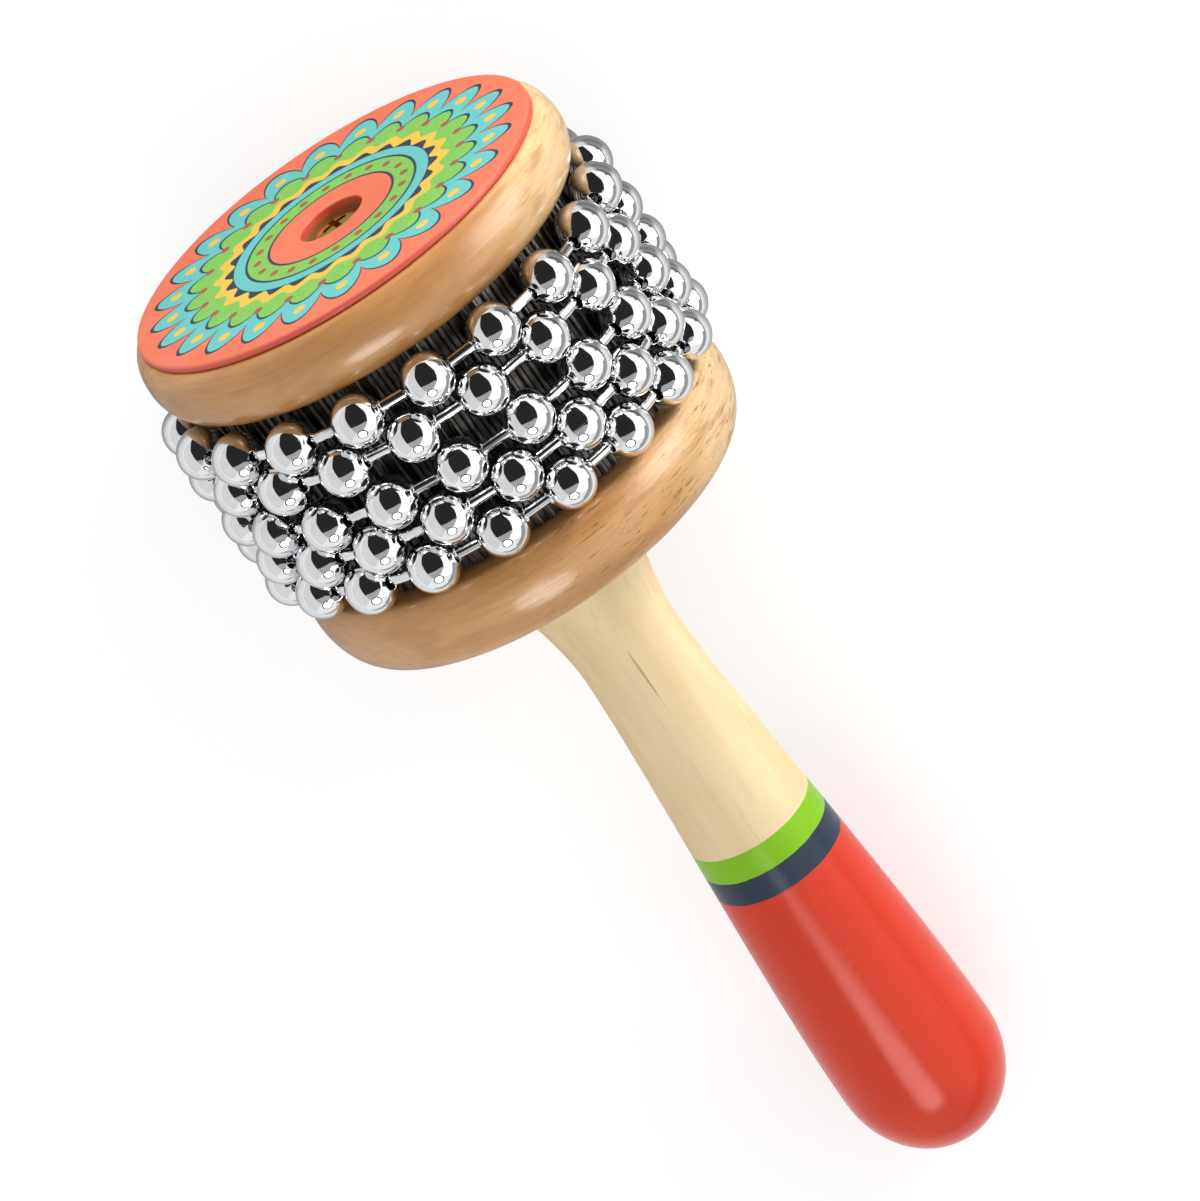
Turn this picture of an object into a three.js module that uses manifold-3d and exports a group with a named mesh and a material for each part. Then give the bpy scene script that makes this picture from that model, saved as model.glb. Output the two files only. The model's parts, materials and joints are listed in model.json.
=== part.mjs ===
import * as THREE from 'three';
import { mergeVertices } from 'three/addons/utils/BufferGeometryUtils.js';
import Module from 'manifold-3d';

// A small cabasa. A turned handle carries two wooden discs with a drum between them, and one long
// screw holds the stack together. A sheet of ribbed steel is wrapped round the drum, and five closed
// rows of steel ball chain turn freely round it. The balls of each row lie in the gaps of the next, so
// the rows turn together.
// Millimetres, +Z up. It lies as it is put down: on two balls of the row next to the handle and on
// the butt of the handle, with the head towards +X.

// Handle
const HANDLE_LENGTH = 139.2;
const HANDLE_BUTT_LENGTH = 17.5;
const HANDLE_SWELL_DIAMETER = 29.9;
const HANDLE_WAIST_DIAMETER = 19;
const HANDLE_WAIST_FROM_DISC = 26.7;
const HANDLE_SHOULDER_DIAMETER = 29.6;
// How long the grip keeps the direction it has at the swell, the waist and the disc, as shares
const SWELL_HOLD = 0.28;
const WAIST_HOLD = 0.17;
const FLARE_HOLD = 0.66;
const TENON_DIAMETER = 15;
const TENON_LENGTH = 26;

// Discs and face plate
const DISC_DIAMETER = 79.9;
const DISC_FACE_DIAMETER = 76;
const DISC_BACK_DIAMETER = 70;
const UPPER_DISC_THICKNESS = 11.65;
const LOWER_DISC_THICKNESS = 14.2;
const DISC_BULGE_DEPTH = 5.2;
const PLATE_DIAMETER = 75;
const PLATE_THICKNESS = 1.2;
const PLATE_EDGE_BREAK = 0.3;
const SCREW_WELL_DIAMETER = 11.8;

// Drum
const DRUM_DIAMETER = 68.7;
const SHEET_THICKNESS = 0.5;
const RIB_HEIGHT = 0.6;
const RIB_PITCH = 2.3;
const SHEET_SEAM_GAP = 0.8;

// Ball chain
const ROW_COUNT = 5;
const BALL_DIAMETER = 8.9;
const LINK_PITCH = 12.9;
const PIN_DIAMETER = 2;
const COUPLING_DIAMETER = 3.4;
const COUPLING_WAIST_DIAMETER = 3;
// Turn of each row from the place where two of its balls stand on the floor, from the face to the handle
const ROW_PHASES_DEG = [5.7, -4.4, 0.7, 9.8, 0];
// The coupling of each row is this many balls up from the floor, on the +Y side
const COUPLING_BALLS_FROM_FLOOR = 2;

// Screw and washer
const SCREW_DIAMETER = 4;
const SCREW_LENGTH = 45;
const SCREW_TIP_LENGTH = 6;
const SCREW_HEAD_DIAMETER = 8.4;
const SCREW_HEAD_HEIGHT = 2.8;
const SCREW_HEAD_RIM = 1.9;
const SCREW_HEAD_DEPTH = 1;
const DRIVE_SPAN = 4.6;
const DRIVE_WIDTH = 1.1;
const DRIVE_DEPTH = 1.6;
const WASHER_DIAMETER = 10.6;
const WASHER_THICKNESS = 0.8;

// Clearances
const SEAT_GAP = 0.2;
const BORE_GAP = 0.2;
const ROW_GAP = 0.1;
const ROW_END_GAP = 0.1;
const ROW_PLAY = 0.7;
const CHAIN_SLACK = 0.3;
const COUPLING_FIT = 0.2;
const COUPLING_END_GAP = 0.5;

// Facets
const HANDLE_SIDES = 24;
const DISC_SIDES = 36;
const DRUM_SIDES = 24;
const SCREW_SIDES = 16;
const COUPLING_SIDES = 8;
const SHEET_SIDES = 36;
const BALL_SIDES = 8;
const BALL_BANDS = 6;
const BUTT_STEPS = 5;
const GRIP_STEPS = 5;
const FLARE_STEPS = 4;
const RIM_BACK_STEPS = 4;
const RIM_FACE_STEPS = 3;
const DOME_STEPS = 4;

// Radii
const drumRadius = DRUM_DIAMETER / 2;
const sheetInnerRadius = drumRadius - RIB_HEIGHT - SHEET_THICKNESS;
const coreRadius = sheetInnerRadius * Math.cos(Math.PI / SHEET_SIDES) - BORE_GAP;
const screwBoreRadius = SCREW_DIAMETER / 2 / Math.cos(Math.PI / SCREW_SIDES) + BORE_GAP;
const tenonBoreRadius = TENON_DIAMETER / 2 / Math.cos(Math.PI / HANDLE_SIDES) + BORE_GAP;
const ballRadius = BALL_DIAMETER / 2;
const pinRadius = PIN_DIAMETER / 2;
const ringRadius = drumRadius + CHAIN_SLACK + ballRadius;

// Chain counts and angles
const ballsPerRow = Math.round((2 * Math.PI * ringRadius) / LINK_PITCH);
const ballStep = (2 * Math.PI) / ballsPerRow;
const pinStart = Math.asin(pinRadius / ballRadius);
const rowPhase = (row) => THREE.MathUtils.degToRad(ROW_PHASES_DEG[row % ROW_PHASES_DEG.length]);

// How far a row lies from the first one: the balls of each row lie in the gaps of the row before, as
// close as the nearest two balls allow, and no closer than a ball beside a coupling
function rowOffset(row) {
  if (row === 0) {
    return 0;
  }
  const apart = BALL_DIAMETER + ROW_GAP;
  const turn = THREE.MathUtils.euclideanModulo(rowPhase(row) - rowPhase(row - 1), ballStep);
  const sideways = 2 * ringRadius * Math.sin(Math.min(turn, ballStep - turn) / 2);
  const nested = Math.sqrt(Math.max(apart ** 2 - sideways ** 2, 0));
  const beside = (BALL_DIAMETER + COUPLING_DIAMETER) / 2 + ROW_GAP;
  return rowOffset(row - 1) + Math.max(nested, beside);
}

// Stations along the axis, from the butt of the handle to the face
const channelLength = rowOffset(ROW_COUNT - 1) + BALL_DIAMETER + 2 * ROW_END_GAP + ROW_PLAY;
const lowerDiscBottom = HANDLE_LENGTH + SEAT_GAP;
const lowerDiscTop = lowerDiscBottom + LOWER_DISC_THICKNESS;
const drumBottom = lowerDiscTop + SEAT_GAP;
const upperDiscBottom = lowerDiscTop + channelLength;
const drumTop = upperDiscBottom - SEAT_GAP;
const upperDiscTop = upperDiscBottom + UPPER_DISC_THICKNESS;
const plateBottom = upperDiscTop + SEAT_GAP;
const plateTop = plateBottom + PLATE_THICKNESS;
const tenonTop = HANDLE_LENGTH + TENON_LENGTH;
const screwHeadTop = plateTop - SCREW_HEAD_DEPTH;
const screwHeadBottom = screwHeadTop - SCREW_HEAD_HEIGHT;
const washerTop = screwHeadBottom - SEAT_GAP;
const washerBottom = washerTop - WASHER_THICKNESS;
const screwWellFloor = washerBottom - SEAT_GAP;
const screwTip = screwHeadBottom - SCREW_LENGTH;

const point = (radius, station) => new THREE.Vector2(radius, station);

// A quarter of an ellipse in the turning profile, about a centre, between two angles
function quarter(centre, radialSize, axialSize, from, to, steps) {
  const curve = new THREE.EllipseCurve(centre.x, centre.y, radialSize, axialSize, from, to, to < from);
  return curve.getPoints(steps);
}

// A turned piece: the profile goes up its outside, and down its bore if it has one
function turned(profile, sides) {
  const halfSide = Math.PI / sides;
  return new THREE.LatheGeometry(profile, sides, halfSide).rotateX(Math.PI / 2);
}

// A turned ring, such as a plate with a hole, whose profile closes on itself
function turnedRing(profile, sides) {
  return turned([...profile, profile[0].clone()], sides);
}

function material(color, roughness, metalness) {
  return new THREE.MeshStandardMaterial({ color, roughness, metalness });
}

const beech = () => material(0xc98f55, 0.35, 0);
const limewood = () => material(0xe9d3a4, 0.45, 0);
const bareWood = () => material(0xb78a5a, 0.8, 0);
const redLacquer = () => material(0xdc5540, 0.4, 0);
const brass = () => material(0xc9a24a, 0.3, 1);
const ribbedSteel = () => material(0x8d8f92, 0.35, 1);
const chrome = () => material(0xd4d6d8, 0.12, 1);

function mesh(name, geometry, surface) {
  const piece = new THREE.Mesh(geometry, surface);
  piece.name = name;
  return piece;
}

// The grip: an oval butt, a swell and a slow taper to the waist, which flares under the disc
function gripProfile() {
  const swell = HANDLE_SWELL_DIAMETER / 2;
  const waist = HANDLE_WAIST_DIAMETER / 2;
  const shoulder = HANDLE_SHOULDER_DIAMETER / 2;
  const waistStation = HANDLE_LENGTH - HANDLE_WAIST_FROM_DISC;
  const taper = waistStation - HANDLE_BUTT_LENGTH;
  const buttEnd = point(0, HANDLE_BUTT_LENGTH);
  const butt = quarter(buttEnd, swell, HANDLE_BUTT_LENGTH, -Math.PI / 2, 0, BUTT_STEPS);
  const grip = new THREE.CubicBezierCurve(
    point(swell, HANDLE_BUTT_LENGTH),
    point(swell, HANDLE_BUTT_LENGTH + taper * SWELL_HOLD),
    point(waist, waistStation - taper * WAIST_HOLD),
    point(waist, waistStation),
  );
  const flare = new THREE.QuadraticBezierCurve(
    point(waist, waistStation),
    point(waist, HANDLE_LENGTH - HANDLE_WAIST_FROM_DISC * FLARE_HOLD),
    point(shoulder, HANDLE_LENGTH),
  );
  return [...butt, ...grip.getPoints(GRIP_STEPS).slice(1), ...flare.getPoints(FLARE_STEPS).slice(1)];
}

// Handle with the tenon that goes through the lower disc into the drum, bored for the screw
function handle() {
  const tenon = TENON_DIAMETER / 2;
  const boreFloor = screwTip - SEAT_GAP;
  const profile = [
    ...gripProfile(),
    point(tenon, HANDLE_LENGTH),
    point(tenon, tenonTop),
    point(screwBoreRadius, tenonTop),
    point(screwBoreRadius, boreFloor),
    point(0, boreFloor),
  ];
  return mesh('handle', turned(profile, HANDLE_SIDES), limewood());
}

// The outside of a disc, from its back to its face: round at the back, bulging, narrower at the face
function discRim(back, face) {
  const bulge = DISC_DIAMETER / 2;
  const faceRadius = DISC_FACE_DIAMETER / 2;
  const backRadius = DISC_BACK_DIAMETER / 2;
  const bulgeStation = face - DISC_BULGE_DEPTH;
  const lower = quarter(
    point(backRadius, bulgeStation),
    bulge - backRadius,
    bulgeStation - back,
    -Math.PI / 2,
    0,
    RIM_BACK_STEPS,
  );
  const upper = quarter(
    point(faceRadius, bulgeStation),
    bulge - faceRadius,
    DISC_BULGE_DEPTH,
    0,
    Math.PI / 2,
    RIM_FACE_STEPS,
  );
  return [...lower, ...upper.slice(1)];
}

function lowerDisc() {
  const profile = [
    ...discRim(lowerDiscBottom, lowerDiscTop),
    point(tenonBoreRadius, lowerDiscTop),
    point(tenonBoreRadius, lowerDiscBottom),
  ];
  return mesh('lower_disc', turnedRing(profile, DISC_SIDES), beech());
}

// The upper disc has a well for the screw's head
function upperDisc() {
  const well = SCREW_WELL_DIAMETER / 2;
  const profile = [
    ...discRim(upperDiscBottom, upperDiscTop),
    point(well, upperDiscTop),
    point(well, screwWellFloor),
    point(screwBoreRadius, screwWellFloor),
    point(screwBoreRadius, upperDiscBottom),
  ];
  return mesh('upper_disc', turnedRing(profile, DISC_SIDES), beech());
}

function facePlate() {
  const rim = PLATE_DIAMETER / 2;
  const well = SCREW_WELL_DIAMETER / 2;
  const profile = [
    point(rim, plateBottom),
    point(rim, plateTop - PLATE_EDGE_BREAK),
    point(rim - PLATE_EDGE_BREAK, plateTop),
    point(well, plateTop),
    point(well, plateBottom),
  ];
  return mesh('face_plate', turnedRing(profile, DISC_SIDES), redLacquer());
}

// The drum's wooden core has a socket for the tenon and a bore for the screw
function drumCore() {
  const socketFloor = tenonTop + SEAT_GAP;
  const profile = [
    point(coreRadius, drumBottom),
    point(coreRadius, drumTop),
    point(screwBoreRadius, drumTop),
    point(screwBoreRadius, socketFloor),
    point(tenonBoreRadius, socketFloor),
    point(tenonBoreRadius, drumBottom),
  ];
  return mesh('drum_core', turnedRing(profile, DRUM_SIDES), bareWood());
}

// The ribbed sheet: ribs along the axis, and a narrow seam where its two ends meet at the floor side
function ribbedSleeve() {
  const seamAngle = SHEET_SEAM_GAP / drumRadius;
  const span = 2 * Math.PI - seamAngle;
  const ribCount = Math.round((span * drumRadius) / RIB_PITCH);
  const at = (radius, share) => {
    const angle = seamAngle / 2 + span * share;
    return point(radius * Math.cos(angle), radius * Math.sin(angle));
  };
  const outer = [];
  for (let half = 0; half <= 2 * ribCount; half += 1) {
    const radius = half % 2 === 0 ? drumRadius - RIB_HEIGHT : drumRadius;
    outer.push(at(radius, half / (2 * ribCount)));
  }
  const inner = [];
  for (let side = SHEET_SIDES; side >= 0; side -= 1) {
    inner.push(at(sheetInnerRadius, side / SHEET_SIDES));
  }
  const section = new THREE.Shape([...outer, ...inner]);
  const sheet = new THREE.ExtrudeGeometry(section, { depth: drumTop - drumBottom, bevelEnabled: false });
  const piece = mesh('ribbed_sleeve', sheet, ribbedSteel());
  piece.position.z = drumBottom;
  return piece;
}

// One ring of points round a strand of chain. The strand runs square to the direction `angle`.
function strandRing(centre, angle, radius) {
  const outward = new THREE.Vector3(Math.cos(angle), Math.sin(angle), 0);
  const axial = new THREE.Vector3(0, 0, 1);
  const ring = [];
  for (let side = 0; side < BALL_SIDES; side += 1) {
    const turn = (2 * Math.PI * side) / BALL_SIDES;
    const spot = centre.clone();
    spot.addScaledVector(outward, radius * Math.cos(turn));
    spot.addScaledVector(axial, radius * Math.sin(turn));
    ring.push(spot);
  }
  return ring;
}

// A closed skin over a run of rings, with both ends capped flat
function skinOver(rings) {
  const spots = rings.flat();
  const indices = [];
  const sides = BALL_SIDES;
  for (let ring = 0; ring + 1 < rings.length; ring += 1) {
    for (let side = 0; side < sides; side += 1) {
      const next = (side + 1) % sides;
      const here = ring * sides;
      const ahead = here + sides;
      indices.push(here + side, ahead + side, here + next);
      indices.push(here + next, ahead + side, ahead + next);
    }
  }
  const last = (rings.length - 1) * sides;
  for (let side = 1; side + 1 < sides; side += 1) {
    indices.push(0, side, side + 1);
    indices.push(last, last + side + 1, last + side);
  }
  const geometry = new THREE.BufferGeometry().setFromPoints(spots);
  geometry.setIndex(indices);
  return geometry;
}

const along = (angle) => new THREE.Vector3(-Math.sin(angle), Math.cos(angle), 0);
const onRing = (angle, radius) => new THREE.Vector3(radius * Math.cos(angle), radius * Math.sin(angle), 0);

// The gap that the coupling bridges, between the last ball and the first
const linkMiddleRadius = ringRadius * Math.cos(ballStep / 2);
const linkLength = 2 * ringRadius * Math.sin(ballStep / 2) - 2 * ballRadius * Math.cos(pinStart);
const couplingLength = linkLength - 2 * COUPLING_END_GAP;

// A strand of balls and pins, bent to the ring, from one end of the coupling round to the other.
// Every ball's rings turn from the line of the pin that enters it to that of the pin that leaves it.
function chainStrand(firstBall) {
  const halfStep = ballStep / 2;
  const couplingAngle = firstBall - halfStep;
  const stubEnd = onRing(couplingAngle, linkMiddleRadius);
  const rings = [];
  const startStub = stubEnd.clone().addScaledVector(along(couplingAngle), SEAT_GAP);
  rings.push(strandRing(startStub, couplingAngle, pinRadius));
  for (let ball = 0; ball < ballsPerRow; ball += 1) {
    const ballAngle = firstBall + ball * ballStep;
    const centre = onRing(ballAngle, ringRadius);
    for (let band = 0; band <= BALL_BANDS; band += 1) {
      const share = band / BALL_BANDS;
      const angle = ballAngle + (share - 0.5) * ballStep;
      const polar = Math.PI - pinStart - share * (Math.PI - 2 * pinStart);
      const middle = centre.clone().addScaledVector(along(angle), ballRadius * Math.cos(polar));
      rings.push(strandRing(middle, angle, ballRadius * Math.sin(polar)));
    }
  }
  const endStub = stubEnd.clone().addScaledVector(along(couplingAngle), -SEAT_GAP);
  rings.push(strandRing(endStub, couplingAngle, pinRadius));
  return skinOver(rings);
}

// The tube that closes a row, pressed to a waist over the two pin ends inside it
function couplingTube() {
  const bore = (pinRadius + COUPLING_FIT) / Math.cos(Math.PI / COUPLING_SIDES);
  const half = couplingLength / 2;
  const profile = [
    point(COUPLING_DIAMETER / 2, -half),
    point(COUPLING_WAIST_DIAMETER / 2, 0),
    point(COUPLING_DIAMETER / 2, half),
    point(bore, half),
    point(bore, -half),
  ];
  const closed = [...profile, profile[0].clone()];
  return new THREE.LatheGeometry(closed, COUPLING_SIDES, Math.PI / COUPLING_SIDES);
}

const rowStation = (row) => upperDiscBottom - ROW_END_GAP - ballRadius - rowOffset(row);

function chainRow(row) {
  const couplingAngle = rowPhase(row) + COUPLING_BALLS_FROM_FLOOR * ballStep;
  const firstBall = couplingAngle + ballStep / 2;
  const strand = mesh(`chain_row_${row + 1}`, chainStrand(firstBall), chrome());
  strand.position.z = rowStation(row);
  const coupling = mesh(`chain_coupling_${row + 1}`, couplingTube(), chrome());
  coupling.position.copy(onRing(couplingAngle, linkMiddleRadius));
  coupling.position.z = rowStation(row);
  coupling.rotation.z = couplingAngle;
  return [strand, coupling];
}

function screwWasher() {
  const profile = [
    point(WASHER_DIAMETER / 2, washerBottom),
    point(WASHER_DIAMETER / 2, washerTop),
    point(screwBoreRadius, washerTop),
    point(screwBoreRadius, washerBottom),
  ];
  return mesh('screw_washer', turnedRing(profile, SCREW_SIDES), brass());
}

const wasm = await Module();
wasm.setup();

function toSolid(geometry) {
  const bare = geometry.clone();
  bare.deleteAttribute('normal');
  bare.deleteAttribute('uv');
  const merged = mergeVertices(bare, 1e-4);
  const vertProperties = new Float32Array(merged.attributes.position.array);
  const triVerts = new Uint32Array(merged.index.array);
  return new wasm.Manifold(new wasm.Mesh({ numProp: 3, vertProperties, triVerts }));
}

function toGeometry(solid) {
  const { vertProperties, triVerts } = solid.getMesh();
  const geometry = new THREE.BufferGeometry();
  geometry.setAttribute('position', new THREE.BufferAttribute(vertProperties, 3));
  geometry.setIndex(new THREE.BufferAttribute(triVerts, 1));
  return geometry;
}

// The long screw: a round head with a cross-shaped drive, a plain shank and a point
function centerScrew() {
  const shank = SCREW_DIAMETER / 2;
  const head = SCREW_HEAD_DIAMETER / 2;
  const rimTop = screwHeadBottom + SCREW_HEAD_RIM;
  const dome = quarter(point(0, rimTop), head, screwHeadTop - rimTop, 0, Math.PI / 2, DOME_STEPS);
  const profile = [
    point(0, screwTip),
    point(shank, screwTip + SCREW_TIP_LENGTH),
    point(shank, screwHeadBottom),
    point(head, screwHeadBottom),
    ...dome.slice(0, -1),
    point(0, screwHeadTop),
  ];
  const blank = toSolid(turned(profile, SCREW_SIDES));
  const slotHeight = 2 * DRIVE_DEPTH;
  const slot = new THREE.BoxGeometry(DRIVE_SPAN, DRIVE_WIDTH, slotHeight).translate(0, 0, screwHeadTop);
  const crossSlot = slot.clone().rotateZ(Math.PI / 2);
  const cut = blank.subtract(toSolid(slot)).subtract(toSolid(crossSlot));
  return mesh('center_screw', toGeometry(cut), brass());
}

// The tilt of the axis at rest: a line from the handle that runs just under the lowest balls
function restTilt() {
  const run = rowStation(ROW_COUNT - 1);
  const depth = ringRadius * Math.cos(ballStep / 2);
  const tilts = gripProfile().map(({ x: radius, y: station }) => {
    const length = run - station;
    const drop = depth - radius;
    return Math.atan2(drop, length) + Math.asin(ballRadius / Math.hypot(length, drop));
  });
  return Math.min(...tilts);
}

const stack = new THREE.Group();
stack.add(handle(), lowerDisc(), drumCore(), ribbedSleeve(), upperDisc(), facePlate());
stack.add(screwWasher(), centerScrew());
for (let row = 0; row < ROW_COUNT; row += 1) {
  stack.add(...chainRow(row));
}
stack.rotation.y = Math.PI / 2 - restTilt();

// Stand it on z = 0, with the middle of its length over the origin
const cabasa = new THREE.Group();
cabasa.add(stack);
cabasa.updateMatrixWorld(true);
const reach = new THREE.Box3().setFromObject(cabasa, true);
stack.position.x = -(reach.min.x + reach.max.x) / 2;
stack.position.z = -reach.min.z;

export default cabasa;
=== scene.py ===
"""A cabasa on a white floor: turned handle, ribbed drum between two discs and five rows of ball chain."""
import json
import math

import bmesh
import bpy
from mathutils import Matrix, Vector


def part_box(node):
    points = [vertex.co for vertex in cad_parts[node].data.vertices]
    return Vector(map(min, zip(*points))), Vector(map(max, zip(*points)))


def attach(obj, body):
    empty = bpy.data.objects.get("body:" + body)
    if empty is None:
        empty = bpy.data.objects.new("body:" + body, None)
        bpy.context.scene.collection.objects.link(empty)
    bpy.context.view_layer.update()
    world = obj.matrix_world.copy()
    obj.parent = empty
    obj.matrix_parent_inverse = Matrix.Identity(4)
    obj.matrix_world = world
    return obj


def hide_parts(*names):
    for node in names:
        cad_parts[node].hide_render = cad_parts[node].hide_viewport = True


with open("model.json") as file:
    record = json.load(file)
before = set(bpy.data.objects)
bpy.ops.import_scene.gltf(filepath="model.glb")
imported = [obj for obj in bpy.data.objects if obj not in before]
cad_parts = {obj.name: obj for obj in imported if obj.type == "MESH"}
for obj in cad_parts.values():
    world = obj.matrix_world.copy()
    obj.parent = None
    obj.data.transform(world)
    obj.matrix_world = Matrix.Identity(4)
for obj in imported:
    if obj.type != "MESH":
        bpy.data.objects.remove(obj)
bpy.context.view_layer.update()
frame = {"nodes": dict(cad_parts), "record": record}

# Lengths are in metres, stations are measured along the drum's axis from the butt of the handle.
HANDLE_BUTT_LENGTH = 0.0175
HANDLE_SWELL_RADIUS = 0.01495
HANDLE_WAIST_RADIUS = 0.0095
HANDLE_WAIST_FROM_DISC = 0.0267
HANDLE_SHOULDER_RADIUS = 0.0148
SWELL_HOLD = 0.28
WAIST_HOLD = 0.17
FLARE_HOLD = 0.66
TENON_RADIUS = 0.0075
RED_END = 0.06475
NAVY_END = 0.06945
GREEN_END = 0.07445
STREAK_STATION = 0.1114
STREAK_SIDE = -0.0005
STREAK_HALF_LENGTH = 0.006
STREAK_HALF_WIDTH = 0.00028

DISC_FACE_RADIUS = 0.038
DISC_BACK_RADIUS = 0.035
DISC_BULGE_DEPTH = 0.0052
DISC_EDGE = 0.0004
SCREW_BORE_RADIUS = 0.0022
SCREW_WELL_RADIUS = 0.0059
PLATE_EDGE = 0.00045
PLATE_HOLE_EDGE = 0.0002
CORE_GAP = 0.0002

SHEET_THICKNESS = 0.0005
RIB_HEIGHT = 0.0006
RIB_PITCH = 0.0023
RIB_WIDTH_SHARE = 0.62
RIB_ROOT = 0.0002

BALLS_PER_ROW = 19
BALL_RADIUS = 0.00445
BALL_MOUTH_RADIUS = 0.00118
BALL_LIP = 0.00016
BALL_SEAM_WIDTH = 0.00005
BALL_SEAM_DEPTH = 0.000012
PIN_RADIUS = 0.00098
PIN_OVERLAP = 0.0009
PIN_SLIT_WIDTH = 0.0003
PIN_SLIT_DEPTH = 0.00028
COUPLING_RADIUS = 0.0017
COUPLING_WAIST_RADIUS = 0.0015
COUPLING_END_GAP = 0.0005

SCREW_HEAD_RADIUS = 0.0042
SCREW_DOME_HEIGHT = 0.0009
SCREW_HEAD_HEIGHT = 0.0028
SCREW_SHANK_RADIUS = 0.002
SCREW_TIP_LENGTH = 0.006
DRIVE_SPAN = 0.0046
DRIVE_WIDTH = 0.0011
DRIVE_DEPTH = 0.0016
DRIVE_TURN = 20

HANDLE_SIDES = 128
DISC_SIDES = 160
CORE_SIDES = 96
SCREW_SIDES = 64
BALL_SIDES = 40
PIN_SIDES = 20
COUPLING_SIDES = 32

# The least angle, in degrees, between two faces with a sharp edge.
CREASE = 35
BALL_CREASE = 60
PIN_CREASE = 28
PLATE_CREASE = 50

CAMERA_BEFORE_FACE = 0.27203
CAMERA_ABOVE_AXIS = 0.821
CAMERA_LEAN = math.radians(8.56)
CAMERA_AIM_BEHIND_FACE = 0.0818
CAMERA_AIM_ASIDE = -0.00024
CAMERA_AXIS_ANGLE = math.radians(55.01)
CAMERA_LENS = 160.97
SENSOR_WIDTH = 36.0

# Colours of the finishes, each followed by those that vary it.
WOOD = (0.86, 0.685, 0.41, 1)
WOOD_CLOUD = (0.78, 0.585, 0.32, 1)
WOOD_FIBRE = (0.68, 0.47, 0.23, 1)
WOOD_STREAK = (0.40, 0.18, 0.07, 1)
RED = (0.67, 0.038, 0.009, 1)
RED_PATCH = (0.59, 0.03, 0.007, 1)
NAVY = (0.02, 0.033, 0.062, 1)
NAVY_SCUFF = (0.2, 0.23, 0.28, 1)
GREEN = (0.23, 0.53, 0.001, 1)
GREEN_PATCH = (0.16, 0.42, 0.004, 1)
BEECH = (0.62, 0.326, 0.114, 1)
BEECH_CLOUD = (0.44, 0.196, 0.054, 1)
# Painted light: a paler beech for the side of the discs that the lamps light, towards the picture's right.
BEECH_PAINTED_LIGHT = (0.82, 0.58, 0.29, 1)
BEECH_RING = (0.42, 0.18, 0.055, 1)
BEECH_FIBRE = (0.38, 0.165, 0.048, 1)
BEECH_FLECK = (0.2, 0.08, 0.028, 1)
# Painted shade: a dark beech for the wall of the screw well.
BEECH_BORE_SHADE = (0.06, 0.028, 0.014, 1)
CORE = (0.55, 0.36, 0.19, 1)
CORE_GRAIN = (0.37, 0.22, 0.1, 1)
FACE_RED = (0.76, 0.165, 0.082, 1)
FACE_RED_CLOUD = (0.71, 0.14, 0.066, 1)
FACE_EDGE = (0.60, 0.07, 0.035, 1)
FACE_EDGE_CLOUD = (0.68, 0.085, 0.04, 1)
LEAF = (0.16, 0.45, 0.07, 1)
LEAF_SPECK = (0.23, 0.49, 0.08, 1)
TURQUOISE = (0.1, 0.45, 0.43, 1)
TURQUOISE_SPECK = (0.15, 0.49, 0.46, 1)
YELLOW = (0.68, 0.45, 0.05, 1)
BROWN = (0.34, 0.08, 0.045, 1)
BRASS = (0.95, 0.72, 0.17, 1)
BRASS_WORN = (0.66, 0.42, 0.07, 1)
# Painted shade: the ribbed steel is painted dark for the shade between the ball rows, and its slight brown
# tint is a painted reflection of the wood.
SHADED_STEEL = (0.125, 0.116, 0.107, 1)
SHADED_STEEL_SMEAR = (0.06, 0.053, 0.047, 1)
CHROME = (0.82, 0.83, 0.84, 1)
CHROME_WORN = (0.74, 0.75, 0.76, 1)

PAINT_WANDER = 0.0003
PAINT_BLUR = 0.00006

# The printed rosette, from the outside in: radii and sizes in millimetres.
PRINT_BLUR = 0.09
SCALLOP_WAVES = 12
SCALLOP_ROUNDNESS = 0.7
PETAL_RISE = 6.2
PETAL_LINE = 28.6
PETAL_RING = 27.9
PETAL_DOTS = 24
PETAL_DOT_RING = 30.4
PETAL_DOT_SIZE = 1.15
LEAF_RISE = 3.6
LEAF_LINE = 24.6
LEAF_RING = 24.0
LEAF_DOTS = 24
LEAF_DOT_RING = 24.6
LEAF_DOT_SIZE = 0.85
WAVES = 24
WAVE_RISE = 0.8
YELLOW_WAVE = 21.8
NAVY_WAVE = 19.6
SKY_RING = 18.6
BEAD_LINE = 16.4
BEAD_RING = 15.9
BEADS = 20
BEAD_DOT_RING = 14.0
BEAD_DOT_SIZE = 0.8
MIDDLE_LINE = 12.1
MIDDLE_RING = 11.6

# The stage: the floor glows less near the object, where its shadow lies.
FLOOR_HALF = 6
FLOOR_COLOUR = (0.85, 0.85, 0.85, 1)
FLOOR_SHADE = (0.5, 0.5, 0.5, 1)
GLOW_NEAR = 0.2
GLOW_FAR = 0.6
GLOW_AT_OBJECT = 0.585
ROOM_LIGHT = 0.7
CEILING_HEIGHT = 1.2
FLOOR_CARD_HALF = 5
FLOOR_CARD_HEIGHT = 0.001
LAMP_SIZE = 0.4
LOW_LAMP_DISTANCE = 0.95
LOW_LAMP_RADIUS = 0.22


# The drum's own frame: x to the floor side, y sideways, z along the axis from the butt towards the face.
joints = frame["record"]["behaviour"]["joints"]
AXIS = Vector(joints[0]["axis"]).normalized()
SIDE = Vector((0, 1, 0))
FLOOR_SIDE = SIDE.cross(AXIS)
TURN = Matrix((FLOOR_SIDE, SIDE, AXIS)).transposed()
axis_point = Vector(joints[0]["pos_m"])


def corners_of(node):
    piece = frame["nodes"][node]
    return [piece.matrix_world @ corner.co for corner in piece.data.vertices]


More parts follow.
